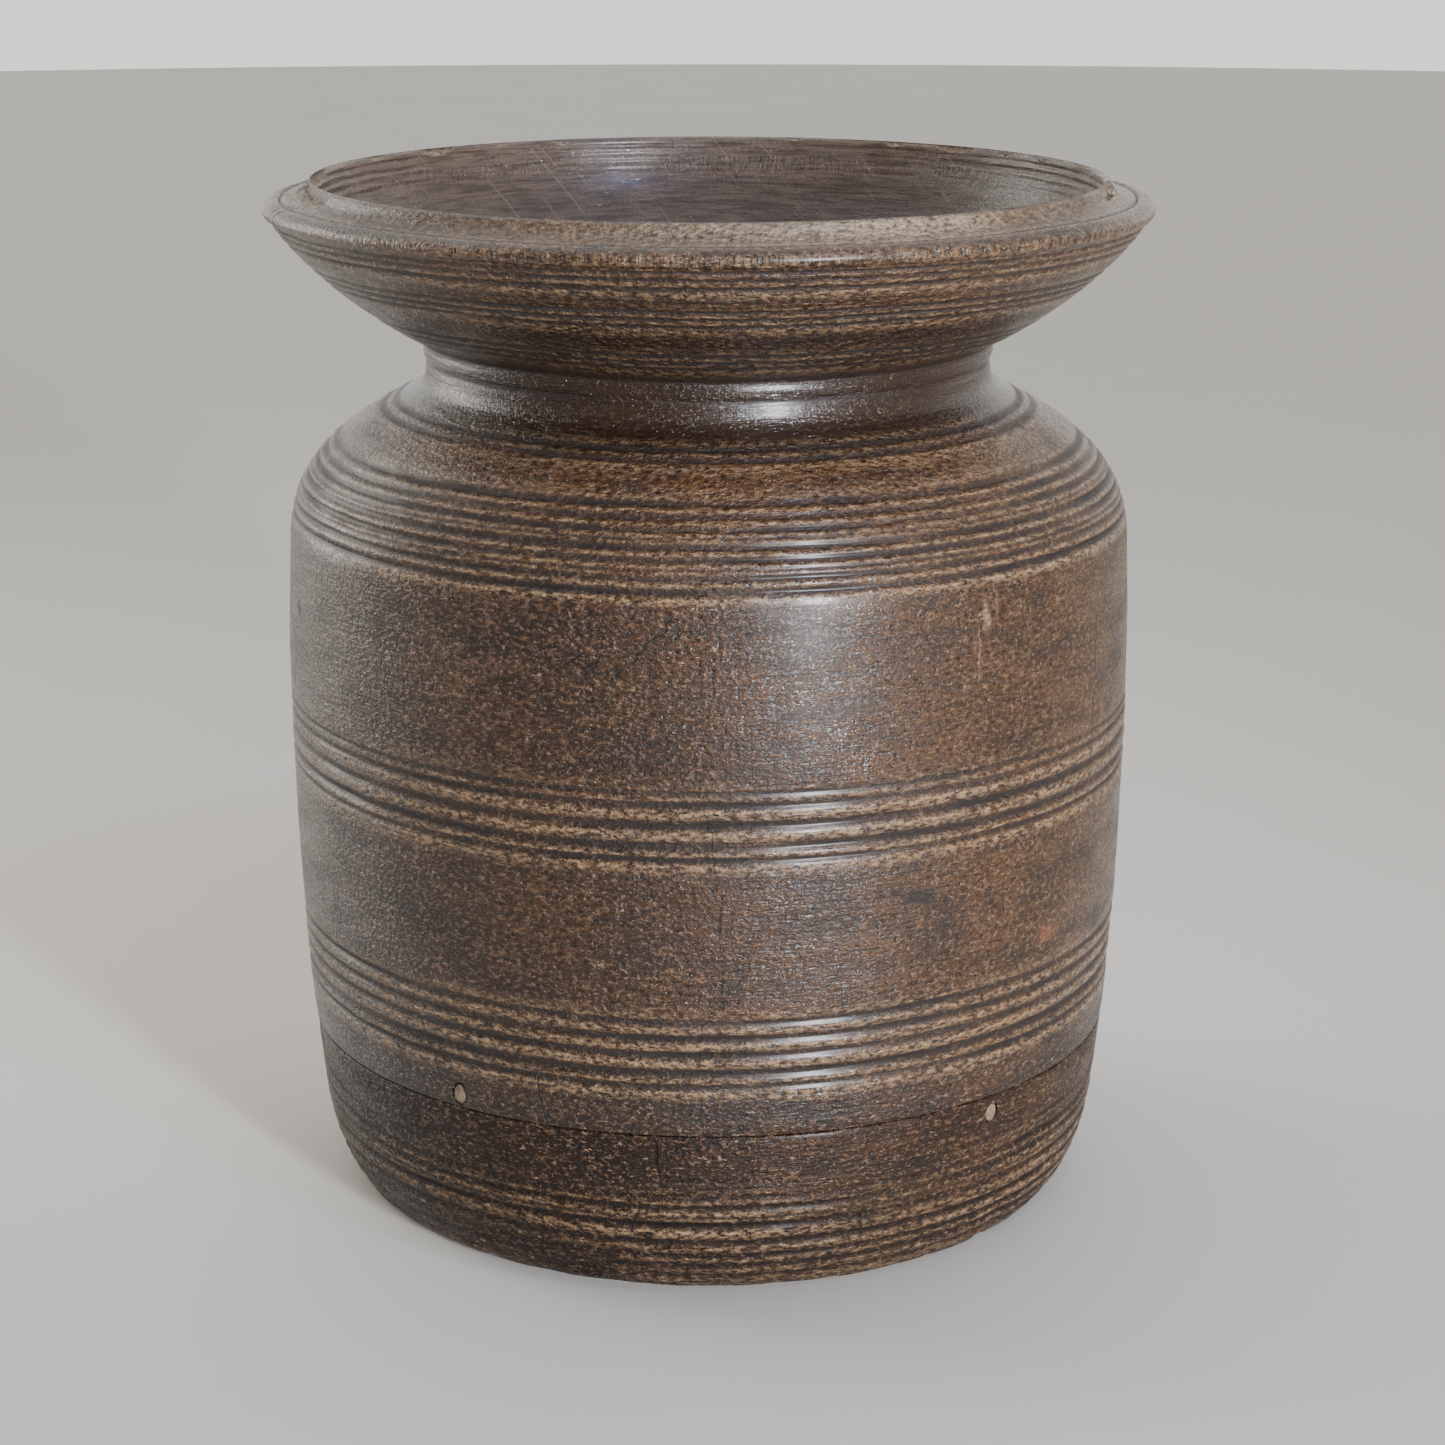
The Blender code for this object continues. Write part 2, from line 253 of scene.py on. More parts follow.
def row_normals(rows, closed):
    """Outward (radius, height) normals of a profile that runs down its outer side."""
    ahead = np.roll(rows, -1, axis=0)
    behind = np.roll(rows, 1, axis=0)
    if not closed:
        ahead[-1], behind[0] = rows[-1], rows[0]
    run = ahead - behind
    run /= np.maximum(np.linalg.norm(run, axis=1, keepdims=True), 1e-9)
    return np.column_stack([-run[:, 1], run[:, 0]])


def joint_faces(row, first, last):
    """Vertices of the hidden joint faces, which stay true."""
    return (row > first - 1.5) & (row < last - 0.5)


def cut_rings(turn, height, rings, seed):
    """Depth of the grooves at each vertex, how far down one it is, and how near an edge."""
    depth = np.zeros_like(height)
    hollow = np.zeros_like(height)
    crest = np.zeros_like(height)
    for number, (centre, width, full) in enumerate(rings):
        worn = 0.82 + 0.34 * drift(turn, 0.0 * height, 26, 1.0, seed + number) \
            + 0.16 * drift(turn, 0.0 * height, 90, 1.0, seed + 40 + number)
        t = (height - centre) / (width / 2)
        cup = np.clip(1 - t * t, 0, 1) ** 1.4
        depth += full * worn * cup
        hollow = np.maximum(hollow, np.clip(1 - ((t - 0.12) / 0.95) ** 2, 0, 1)
            * np.clip(0.45 + full * 0.6, 0, 1) * np.clip(worn, 0.5, 1.15))
        # rubbed edges lightened, the lower, upward-facing edge twice as much as the upper, as
        # painted highlight
        lower = np.exp(-((t + 1.22) / 0.34) ** 2)
        upper = 0.5 * np.exp(-((t - 1.25) / 0.28) ** 2)
        crest = np.maximum(crest, (lower + upper) * np.clip(full * 1.2, 0, 1))
        depth -= 0.10 * full * worn * lower
    return depth, np.clip(hollow, 0, 1), np.clip(crest, 0, 1)


def finish_piece(item, finish, slot, *nodes, smooth=50.0):
    """Smooth shading, the finish, and its place in the frame."""
    only(item)
    if "row" in item.data.attributes:
        item.data.attributes.remove(item.data.attributes["row"])
    bpy.ops.object.shade_smooth_by_angle(angle=math.radians(smooth))
    item.data.materials.clear()
    item.data.materials.append(finish)
    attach(item, "root")
    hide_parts(*nodes)
    item.select_set(False)


# ---- finishes
# patterns of the wood: (name, width across in mm, height along the axis in mm, detail, roughness)
PATTERNS = (("cloud", 85.0, 60.0, 2.0, 0.55),     # broad darkening of the whole log
    ("patch", 30.0, 9.0, 4.0, 0.62),      # smeared patches left by handling
    ("lathe", 14.0, 1.0, 2.0, 0.6),       # scraper lines that run round
    ("fibre", 1.3, 24.0, 2.0, 0.55),      # log fibre that runs up and down
    ("hide", 1.9, 1.2, 2.5, 0.6),         # leathery clots of old oil, drawn coarser so they show
    ("grit", 0.85, 0.65, 1.0, 0.6),       # fine open pores
    ("fleck", 2.6, 1.1, 3.0, 0.65))       # flecks, painted as pale glints on the skin; also the texture of rubbed edges and pale marks

# zones of the log: (name, axis, from, to) in metres; a zone grows from 0 to 1 between the two
# right marks the side the window lights, for painted light; low and left mark the bottom and its
# left side, for painted shade
ZONES = (("right", "x", 0.02, 0.125), ("left", "x", 0.03, -0.10),
    ("over_shoulder", "z", 0.226, 0.250), ("under_collar", "z", 0.266, 0.262),
    ("over_collar", "z", 0.262, 0.267), ("under_rim", "z", 0.323, 0.300),
    ("under_flare", "z", 0.292, 0.284),
    ("low", "z", 0.125, 0.045), ("band", "z", 0.3215, 0.3255), ("under_ledge", "z", 0.3295, 0.3285))
SHARED_ZONES = (("shoulder", "over_shoulder", "under_collar"),
    ("throat", "over_collar", "under_rim"),
    ("low_left", "low", "left"), ("outer_band", "band", "under_ledge"),
    ("neck", "over_collar", "under_flare"))

# the skin from the ground up: (zone, pattern, from, to, strength at each end, colour)
WOOD_LAYERS = ((None, "cloud", 0.36, 0.64, 0.0, 1.0, "mid"),
    (None, "patch", 0.42, 0.66, 0.0, 0.65, "warm"),
    # painted light: amber patches on the right side, the side the window lights
    ("right", "patch", 0.30, 0.60, 0.15, 0.70, "amber"),
    ("shoulder", "cloud", 0.30, 0.60, 0.40, 0.90, "amber"),
    (None, "patch", 0.46, 0.32, 0.0, 0.62, "#1b100a"),
    # painted shade: darker patches towards the bottom, darkest on its left side
    ("low", "patch", 0.62, 0.38, 0.25, 0.75, "#170d08"),
    ("low_left", "cloud", 0.62, 0.36, 0.72, 0.95, "#130a06"),
    ("throat", "cloud", 0.30, 0.60, 0.85, 0.62, "#150d08"),
    (None, "fibre", 0.50, 0.30, 0.0, 0.35, "#180e08"),
    (None, "lathe", 0.50, 0.34, 0.0, 0.55, "#150c07"),
    ("outer_band", "fibre", 0.50, 0.38, 0.0, 0.85, "#170d08"),
    # painted highlight: pale strokes along the fibre of the rim band, over its dark fibre
    ("outer_band", "fibre", 0.55, 0.66, 0.0, 0.40, "#8a6e54"),
    (None, "crease", 0.0, 0.035, 0.65, 0.0, "#100805"),
    (None, "hide", 0.48, 0.36, 0.0, 0.85, "#120904"),
    # painted glints: the pale clot tops and pale flecks below stand in for glints on the wax
    (None, "hide", 0.54, 0.68, 0.0, 0.34, "#7d5d43"),
    (None, "grit", 0.44, 0.32, 0.0, 0.45, "#0e0805"),
    (None, "fleck", 0.62, 0.70, 0.0, 0.42, "#8b7059"),
    ("low", "fleck", 0.62, 0.69, 0.0, 0.45, "#8a7056"),
    ("neck", "cloud", 0.30, 0.70, 0.88, 0.62, "#291d15"),
    ("throat", "patch", 0.66, 0.40, 0.0, 0.55, "#1c120c"),
    ("dark", "hide", 0.30, 0.60, 0.95, 0.75, "#120a06"),
    ("tan", "hide", 0.36, 0.60, 0.10, 0.55, "#74452a"),
    ("pale", "fleck", 0.38, 0.56, 0.10, 0.70, "#806850"),
    # crest: edges rubbed to tan, partly painted highlight on edges that face the light
    ("crest", "fleck", 0.43, 0.58, 0.0, 0.74, "#957858"),
    ("hollow", "hide", 0.30, 0.70, 0.97, 0.78, "#0e0704"),
    ("inner", "cloud", 0.30, 0.70, 0.90, 0.65, "#483c33"),
    ("inner", "lathe", 0.40, 0.62, 0.0, 0.55, "#6b5a4c"),
    ("inner", "scratch", 0.66, 0.74, 0.0, 0.30, "#8a7865"),
    # pale wood layer: bare wood at breaks, chips and the underside, and painted light on the front
    # of the lip
    ("bare", "hide", 0.36, 0.56, 0.15, 1.0, "#9a8871"),
    ("bare", "grit", 0.44, 0.32, 0.0, 0.60, "#3a2c20"),
    ("crack", "hide", 0.20, 0.70, 1.0, 0.85, "#080503"), )
# the relief: (zone, pattern, from, to, height in mm between them)
WOOD_RELIEF = ((None, "crease", 0.0, 0.09, 0.10), (None, "hide", 0.30, 0.70, 0.56),
    ("inner", "hide", 0.30, 0.70, -0.47), ("neck", "hide", 0.30, 0.70, -0.22),
    ("outer_band", "hide", 0.30, 0.70, -0.20),
    (None, "grit", 0.30, 0.70, 0.05), (None, "lathe", 0.34, 0.66, 0.18),
    (None, "fibre", 0.30, 0.70, 0.05), (None, "patch", 0.0, 1.0, 0.6),
    ("outer_band", "fibre", 0.34, 0.60, 0.24), ("bare", "fibre", 0.30, 0.70, 0.45),
    ("bare", "grit", 0.30, 0.70, 0.25), ("inner", "scratch", 0.64, 0.74, -0.10),
    ("crack", "hide", 0.0, 0.01, -0.6), ("pale", "hide", 0.30, 0.60, -0.2),
    ("tan", "hide", 0.30, 0.60, -0.3), )
# roughness that each zone is drawn to, in this order
ZONE_ROUGHNESS = (("neck", 0.22), ("outer_band", 0.28), ("hollow", 0.85), ("bare", 0.86),
    ("crack", 0.9), ("dark", 0.75))


def old_turned_wood(name, settings, cracks, look):
    """Old hand-turned log wood, darkened by years of oil, smoke and handling. The blotches, creases
    and lathe lines give a leathery brown skin, grooves hold black dirt, edges are rubbed to tan,
    and the rubbed wax skin gives a soft broken sheen. Light and shade are painted in as well: pale
    flecks and clot tops as painted glints, painted light on the right side and the front of the
    lip, painted highlight on up-facing groove edges, the ledge and the rim band, and painted shade
    towards the bottom and its left side. `look` holds the shade of the browns, the roughness of
    the wax, its specular level and the weight of its coat."""
    made = bpy.data.materials.new(name)
    made.use_nodes = True
    tree = made.node_tree
    shader = tree.nodes["Principled BSDF"]
    place = add(tree, "ShaderNodeTexCoord", out="Object")
    axes = add(tree, "ShaderNodeSeparateXYZ", {0: place}).node.outputs
    zone = {key: add(tree, "ShaderNodeAttribute", out="Fac", attribute_name=key)
        for key in ("hollow", "crest", "bare", "inner")}

    pattern = {}
    for key, across, along, detail, rough in PATTERNS:
        spread = add(tree, "ShaderNodeVectorMath",
            {0: place, 1: (1000 / across, 1000 / across, 1000 / along)}, operation='MULTIPLY')
        pattern[key] = add(tree, "ShaderNodeTexNoise",
            {"Vector": spread, "Scale": 1.0, "Detail": detail, "Roughness": rough},
            noise_dimensions='3D')
    # the creases between clots follow the middle level of the hide pattern
    pattern["crease"] = add(tree, "ShaderNodeMath",
        {0: add(tree, "ShaderNodeMath", {0: pattern["hide"], 1: 0.5},
            operation='SUBTRACT')}, operation='ABSOLUTE')
    # slanting tool scratches on the inside, 1 mm wide and 30 mm long
    slant = add(tree, "ShaderNodeVectorRotate", {"Vector": place, "Angle": math.radians(40)},
        rotation_type='Y_AXIS')
    slant = add(tree, "ShaderNodeVectorMath", {0: slant, 1: (900.0, 60.0, 26.0)},
        operation='MULTIPLY')
    pattern["scratch"] = add(tree, "ShaderNodeTexNoise",
        {"Vector": slant, "Scale": 1.0, "Detail": 1.0, "Roughness": 0.5})

    # turn round the pot and height, as millimetres on the belly, with a slight waver
    turn = add(tree, "ShaderNodeMath",
        {0: axes["X"], 1: add(tree, "ShaderNodeMath", {0: axes["Y"], 1: -1.0},
            operation='MULTIPLY')}, operation='ARCTAN2')
    flat = add(tree, "ShaderNodeCombineXYZ",
        {0: add(tree, "ShaderNodeMath", {0: turn, 1: BELLY_RADIUS}, operation='MULTIPLY'),
            1: add(tree, "ShaderNodeMath", {0: axes["Z"], 1: 1000.0}, operation='MULTIPLY')})
    waver = add(tree, "ShaderNodeTexNoise", {"Vector": place, "Scale": 170.0, "Detail": 2.0})
    waver = add(tree, "ShaderNodeMath", {0: waver, 1: 0.5}, operation='SUBTRACT')
    flat = add(tree, "ShaderNodeVectorMath", {0: waver, 1: (6.0, -4.0, 0.0), 2: flat},
        operation='MULTIPLY_ADD')

    for turn0, height0, turn1, height1, width, strength in cracks:
        start = Vector((math.radians(turn0) * BELLY_RADIUS, height0, 0))
        run = Vector((math.radians(turn1) * BELLY_RADIUS, height1, 0)) - start
        reach = add(tree, "ShaderNodeVectorMath", {0: flat, 1: start}, operation='SUBTRACT')
        along = add(tree, "ShaderNodeVectorMath", {0: reach, 1: run / run.length_squared}, out=1,
            operation='DOT_PRODUCT')
        along = add(tree, "ShaderNodeMath", {0: along, 1: 1.0}, operation='MULTIPLY',
            use_clamp=True)
        foot = add(tree, "ShaderNodeVectorMath", {0: tuple(run), "Scale": along}, operation='SCALE')
        off = add(tree, "ShaderNodeVectorMath", {0: reach, 1: foot}, out=1, operation='DISTANCE')
        line = add(tree, "ShaderNodeMapRange", {0: off, 1: width * 0.35, 2: width * 1.1,
            3: strength, 4: 0.0})
        zone["crack"] = line if "crack" not in zone else \
            add(tree, "ShaderNodeMath", {0: zone["crack"], 1: line}, operation='MAXIMUM')

    for key, spots in (("dark", DARK_MARKS), ("pale", PALE_MARKS), ("tan", TAN_MARKS)):
        for spot_turn, spot_height, half_width, half_height in spots:
            centre = (math.radians(spot_turn) * BELLY_RADIUS, spot_height, 0)
            reach = add(tree, "ShaderNodeVectorMath", {0: flat, 1: centre}, operation='SUBTRACT')
            reach = add(tree, "ShaderNodeVectorMath",
                {0: reach, 1: (1 / half_width, 1 / half_height, 0)}, operation='MULTIPLY')
            size = add(tree, "ShaderNodeVectorMath", {0: reach}, out=1, operation='LENGTH')
            spot = add(tree, "ShaderNodeMapRange", {0: size, 1: 0.55, 2: 1.25, 3: 1.0, 4: 0.0})
            zone[key] = spot if key not in zone else \
                add(tree, "ShaderNodeMath", {0: zone[key], 1: spot}, operation='MAXIMUM')

    for key, axis, start, end in ZONES:
        zone[key] = add(tree, "ShaderNodeMapRange", {0: axes[axis.upper()], 1: start, 2: end,
            3: 0.0, 4: 1.0})
    for key, first, second in SHARED_ZONES:
        zone[key] = add(tree, "ShaderNodeMath", {0: zone[first], 1: zone[second]},
            operation='MULTIPLY')

    browns = {key: (*(Vector(shade) * look["shade"]), 1.0)
        for key, shade in (("dark", settings.dark_brown), ("mid", settings.mid_brown),
            ("warm", settings.warm_brown), ("amber", settings.amber))}
    colour = browns["dark"]
    for where, key, start, end, first, last, shade in WOOD_LAYERS:
        factor = add(tree, "ShaderNodeMapRange", {0: pattern[key], 1: start, 2: end, 3: first,
            4: last})
        if where:
            factor = add(tree, "ShaderNodeMath", {0: factor, 1: zone[where]}, operation='MULTIPLY')
        colour = add(tree, "ShaderNodeMix",
            {0: factor, 6: colour, 7: browns.get(shade) or linear(shade)}, out=2, data_type='RGBA')
    tree.links.new(colour, shader.inputs["Base Color"])

    # wax sheen: rubbed smooth on the high spots, dull in creases, dirt, bare wood, the
    # painted-light lip front and cracks
    gloss = add(tree, "ShaderNodeMath",
        {0: add(tree, "ShaderNodeMapRange", {0: pattern["crease"], 1: 0.01, 2: 0.06,
            3: look["roughness"] + 0.35, 4: look["roughness"]}),
            1: add(tree, "ShaderNodeMapRange", {0: pattern["patch"], 1: 0.35, 2: 0.65,
                3: 0.20, 4: -0.04})}, operation='ADD')
    for where, target in ZONE_ROUGHNESS:
        gloss = add(tree, "ShaderNodeMix", {0: zone[where], 2: gloss, 3: target}, data_type='FLOAT')
    tree.links.new(gloss, shader.inputs["Roughness"])
    shader.inputs["IOR"].default_value = 1.5
    shader.inputs["Specular IOR Level"].default_value = look["specular"]
    shader.inputs["Metallic"].default_value = 0.0
    # the wax lies over the relief as a thin even film
    shader.inputs["Coat Weight"].default_value = look["wax"]
    shader.inputs["Coat Roughness"].default_value = 0.27
    shader.inputs["Coat IOR"].default_value = 1.45

    relief = 0.0
    for where, key, start, end, amount in WOOD_RELIEF:
        rise = add(tree, "ShaderNodeMapRange", {0: pattern[key], 1: start, 2: end, 3: 0.0, 4: 1.0})
        relief = add(tree, "ShaderNodeMath", {0: rise, 1: amount if where is None else
                add(tree, "ShaderNodeMath", {0: zone[where], 1: amount}, operation='MULTIPLY'),
                2: relief}, operation='MULTIPLY_ADD')
    bump = add(tree, "ShaderNodeBump", {"Strength": 1.0, "Distance": MM, "Height": relief})
    tree.links.new(bump, shader.inputs["Normal"])
    made.diffuse_color = linear("#5a4232")
    return made


def pine_pitch():
    """Boiled pine pitch, brushed on hot: near-black brown, glassy on its lumps, with caught ash."""
    made = bpy.data.materials.new("boiled_pine_pitch")
    made.use_nodes = True
    tree = made.node_tree
    shader = tree.nodes["Principled BSDF"]
    place = add(tree, "ShaderNodeTexCoord", out="Object")
    lumps = add(tree, "ShaderNodeTexNoise", {"Vector": place, "Scale": 320.0, "Detail": 4.0})
    ash = add(tree, "ShaderNodeTexNoise", {"Vector": place, "Scale": 1500.0, "Detail": 2.0})
    colour = add(tree, "ShaderNodeMix",
        {0: add(tree, "ShaderNodeMapRange", {0: lumps, 1: 0.4, 2: 0.65}),
            6: linear("#120a06"), 7: linear("#331b0e")}, out=2, data_type='RGBA')
    colour = add(tree, "ShaderNodeMix",
        {0: add(tree, "ShaderNodeMapRange", {0: ash, 1: 0.64, 2: 0.72, 3: 0.0, 4: 0.5}),
            6: colour, 7: linear("#6a5a4a")}, out=2, data_type='RGBA')
    tree.links.new(colour, shader.inputs["Base Color"])
    tree.links.new(add(tree, "ShaderNodeMapRange", {0: ash, 1: 0.3, 2: 0.7, 3: 0.18, 4: 0.5}),
        shader.inputs["Roughness"])
    shader.inputs["IOR"].default_value = 1.53
    bump = add(tree, "ShaderNodeBump", {"Strength": 0.8, "Distance": 0.6 * MM, "Height": lumps})
    tree.links.new(bump, shader.inputs["Normal"])
    made.diffuse_color = linear("#2a170d")
    return made


def peg_end_grain(settings):
    """Split hardwood peg, dry and unwaxed: pale grey-tan end grain, open pores and a dirty rim."""
    made = bpy.data.materials.new("dry_split_peg_wood")
    made.use_nodes = True
    tree = made.node_tree
    shader = tree.nodes["Principled BSDF"]
    place = add(tree, "ShaderNodeTexCoord", out="Object")
    stain = add(tree, "ShaderNodeTexNoise", {"Vector": place, "Scale": 420.0, "Detail": 4.0})
    pores = add(tree, "ShaderNodeTexNoise", {"Vector": place, "Scale": 2100.0, "Detail": 2.0})
    rim = add(tree, "ShaderNodeAttribute", out="Fac", attribute_name="rim")
    colour = add(tree, "ShaderNodeMix",
        {0: add(tree, "ShaderNodeMapRange", {0: stain, 1: 0.35, 2: 0.65}),
            6: tuple(settings.peg_colour) + (1.0,), 7: linear("#77674f")}, out=2, data_type='RGBA')
    colour = add(tree, "ShaderNodeMix",
        {0: add(tree, "ShaderNodeMapRange", {0: pores, 1: 0.5, 2: 0.36, 3: 0.0, 4: 0.7}),
            6: colour, 7: linear("#4a3727")}, out=2, data_type='RGBA')
    colour = add(tree, "ShaderNodeMix", {0: rim, 6: colour, 7: linear("#2a1b11")}, out=2,
        data_type='RGBA')
    tree.links.new(colour, shader.inputs["Base Color"])
    tree.links.new(add(tree, "ShaderNodeMapRange", {0: pores, 1: 0.3, 2: 0.7, 3: 0.78, 4: 0.6}),
        shader.inputs["Roughness"])
    bump = add(tree, "ShaderNodeBump", {"Strength": 1.0, "Distance": 0.35 * MM, "Height": pores})
    tree.links.new(bump, shader.inputs["Normal"])
    made.diffuse_color = linear("#8f7d6a")
    return made


def studio_floor(settings):
    """Matt painted board, pale and plain, with only a faint unevenness."""
    made = bpy.data.materials.new("matt_pale_floor")
    made.use_nodes = True
    tree = made.node_tree
    shader = tree.nodes["Principled BSDF"]
    place = add(tree, "ShaderNodeTexCoord", out="Object")
    faint = add(tree, "ShaderNodeTexNoise", {"Vector": place, "Scale": 6.0, "Detail": 4.0})
    base = Vector(settings.floor_colour)
    colour = add(tree, "ShaderNodeMix",
        {0: faint, 6: (*(base * 0.97), 1.0), 7: (*(base * 1.02), 1.0)}, out=2, data_type='RGBA')
    tree.links.new(colour, shader.inputs["Base Color"])
    shader.inputs["Roughness"].default_value = 0.7
    made.diffuse_color = (*base, 1.0)
    return made


# ---- user settings
class POT_PG_shape(bpy.types.PropertyGroup):
    sides: bpy.props.IntProperty(name="Sides", description="Steps round each turned piece",
        default=240, min=96, max=260, subtype='UNSIGNED')
    ring_depth: bpy.props.FloatProperty(
        name="Ring depth", description="Depth of every turned groove against its drawn depth",
        default=1.0, min=0.0, max=1.5, subtype='FACTOR')
    uneven: bpy.props.FloatProperty(
        name="Unevenness", description="How far the surface wanders from true",
        default=0.00035, min=0.0, max=0.001, subtype='DISTANCE', unit='LENGTH', precision=5)
    wear: bpy.props.FloatProperty(
        name="Foot wear", description="Depth of the dents worn into the foot",
        default=0.0005, min=0.0, max=0.001, subtype='DISTANCE', unit='LENGTH', precision=5)


class POT_PG_finish(bpy.types.PropertyGroup):
    dark_brown: bpy.props.FloatVectorProperty(
        name="Dark brown", description="Darkest brown of the waxed wood",
        subtype='COLOR', size=3, min=0, max=1, default=linear("#332010")[:3])
    mid_brown: bpy.props.FloatVectorProperty(
        name="Middle brown", description="Usual brown of the waxed wood",
        subtype='COLOR', size=3, min=0, max=1, default=linear("#49301b")[:3])
    warm_brown: bpy.props.FloatVectorProperty(
        name="Warm brown", description="Rubbed patches of the waxed wood",
        subtype='COLOR', size=3, min=0, max=1, default=linear("#5c3e26")[:3])
    # amber: laid on the shoulder, and on the right side as painted light where the window falls
    amber: bpy.props.FloatVectorProperty(
        name="Amber", description="Shoulder and right side, where the wax is thin",
        subtype='COLOR', size=3, min=0, max=1, default=linear("#644324")[:3])
    peg_colour: bpy.props.FloatVectorProperty(
        name="Peg wood", description="Dry end grain of the pegs",
        subtype='COLOR', size=3, min=0, max=1, default=linear("#594c3f")[:3])


class POT_PG_stage(bpy.types.PropertyGroup):
    floor_colour: bpy.props.FloatVectorProperty(
        name="Floor", description="Colour of the plain floor",
        subtype='COLOR', size=3, min=0, max=1, default=linear("#c6c2bb")[:3])
    key_power: bpy.props.FloatProperty(
        name="Window light", description="Power of the tall window light in watts",
        default=8.0, min=0.0, max=200.0, unit='POWER')
    lens: bpy.props.FloatProperty(name="Lens", description="Focal length on a 36 mm wide sensor",
        default=84.0, min=20.0, max=200.0, unit='CAMERA')


# ---- operators
class POT_OT_body(bpy.types.Operator):
    """Turns the hollowed log body with its rim, lip and ring grooves"""
    bl_idname = "pot.body"
    bl_label = "Log Body"

    def execute(self, context):
        shape, colours = context.scene.pot_shape, context.scene.pot_finish
        uneven = shape.uneven / MM
        lip = [(128.9, 336.0), (129.7, 335.75), (130.25, 335.2), (130.6, 334.5), (131.0, 333.8),
            (131.6, 332.9), (132.4, 332.0), (133.4, 331.25)]
        rim = [(134.6, 330.95), (136.0, 330.65), (137.2, 330.4), (137.8, 330.0), (138.2, 329.55),
            (138.6, 330.0), (139.3, 330.3), (140.4, 330.2), (141.5, 329.8), (142.5, 329.2),
            (143.3, 328.5), (143.9, 327.7), (144.15, 326.8), (144.0, 325.9), (143.6, 325.1),
            (143.0, 324.5)]
        flare = side_rows(curve((142.4, 324.2), (131.0, 308.0), (112.0, 293.0), (94.0, 284.5), 200),
            324.2, 284.9, FLARE_RINGS)
        neck = [(93.4, 284.1), (92.9, 283.2), (93.2, 282.0), (93.3, 280.6), (92.9, 279.2),
            (92.4, 278.2), (92.1, 277.4), (92.4, 276.5), (92.5, 275.0), (92.6, 273.4),
            (93.0, 271.8), (93.8, 270.4), (95.0, 269.0)]
        shoulder = side_rows(curve((96.5, 268.0), (122.5, 255.0), (137.0, 244.5),
            (barrel(222), 222), 200), 267.8, 222.0, SHOULDER_RINGS)
        heights = np.linspace(222.0, SEAM, 400)
        side = side_rows(np.column_stack([barrel(heights), heights]), 218.6, SEAM + 0.5,
            BELLY_RINGS + LOWER_RINGS)
        rebate = [(barrel(SEAM) - 0.35, SEAM), (122.3, SEAM), (122.3, TENON_TOP + 0.3),
            (112.0, TENON_TOP + 0.3)]
        lower = curve((112.0, TENON_TOP + 0.3), (123.0, 86.0), (129.4, 105.0), (129.4, 140.0), 9)
        upper = curve((129.4, 190.0), (129.4, 245.0), (103.0, 251.0), (87.0, 263.5), 12)
        throat = [(84.2, 267.0), (82.9, 271.0), (82.6, 275.0), (83.4, 280.0), (85.4, 284.2)]
        mouth_line = curve((88.5, 287.2), (104.0, 301.0), (124.0, 310.0), (127.2, 334.6), 300)
        mouth = side_rows(mouth_line, 334.6, 287.2, MOUTH_RINGS, plain=2.6)[::-1]
        brim = [(127.5, 335.3), (128.1, 335.8)]
        parts = {"lip": lip, "rim": rim, "flare": flare, "neck": neck, "shoulder": shoulder,
            "side": side, "rebate": rebate, "lower": lower[1:], "upper": upper,
            "throat": throat, "mouth": mouth, "brim": brim}
        rows = np.vstack(list(parts.values()))
        # the row number at which each part of the profile ends
        ends = dict(zip(parts, np.cumsum([len(part) for part in parts.values()])))
        item = turn_profile("log_body", rows, True, shape.sides)

        # the lip gets finer faces for its broken edges and chips
        row = read(item)[3]
        fine = (row < ends["lip"] + 0.5) | (row > ends["mouth"] - 6.5)
        only(item)
        bpy.ops.object.mode_set(mode='EDIT')
        bpy.ops.mesh.select_mode(type='VERT')
        bpy.ops.mesh.select_all(action='DESELECT')
        bpy.ops.object.mode_set(mode='OBJECT')
        item.data.vertices.foreach_set("select", fine)
        bpy.ops.object.mode_set(mode='EDIT')
        bpy.ops.mesh.subdivide(number_cuts=1, smoothness=0.0)
        bpy.ops.object.mode_set(mode='OBJECT')

        turn, radius, height, row = read(item)
        normals = row_normals(rows, True)
        lower_row = np.clip(np.floor(row).astype(int), 0, len(rows) - 1)
        part_row = row - lower_row
        wrap = (lower_row + 1) % len(rows)
        # a vertex between the last row and the first averages their numbers, so those are set here
        seam_rows = (part_row > 0.01) & (part_row < 0.99) & (np.abs(height - 335.9) < 0.2)
        nr = normals[lower_row, 0] * (1 - part_row) + normals[wrap, 0] * part_row
        nz = normals[lower_row, 1] * (1 - part_row) + normals[wrap, 1] * part_row
        nr[seam_rows], nz[seam_rows] = 0.0, 1.0

        outside = (row < ends["side"] - 0.5)
        inside = (row >= ends["rebate"] - 0.5)
        outer_side = outside & (row > ends["rim"] - 0.5)
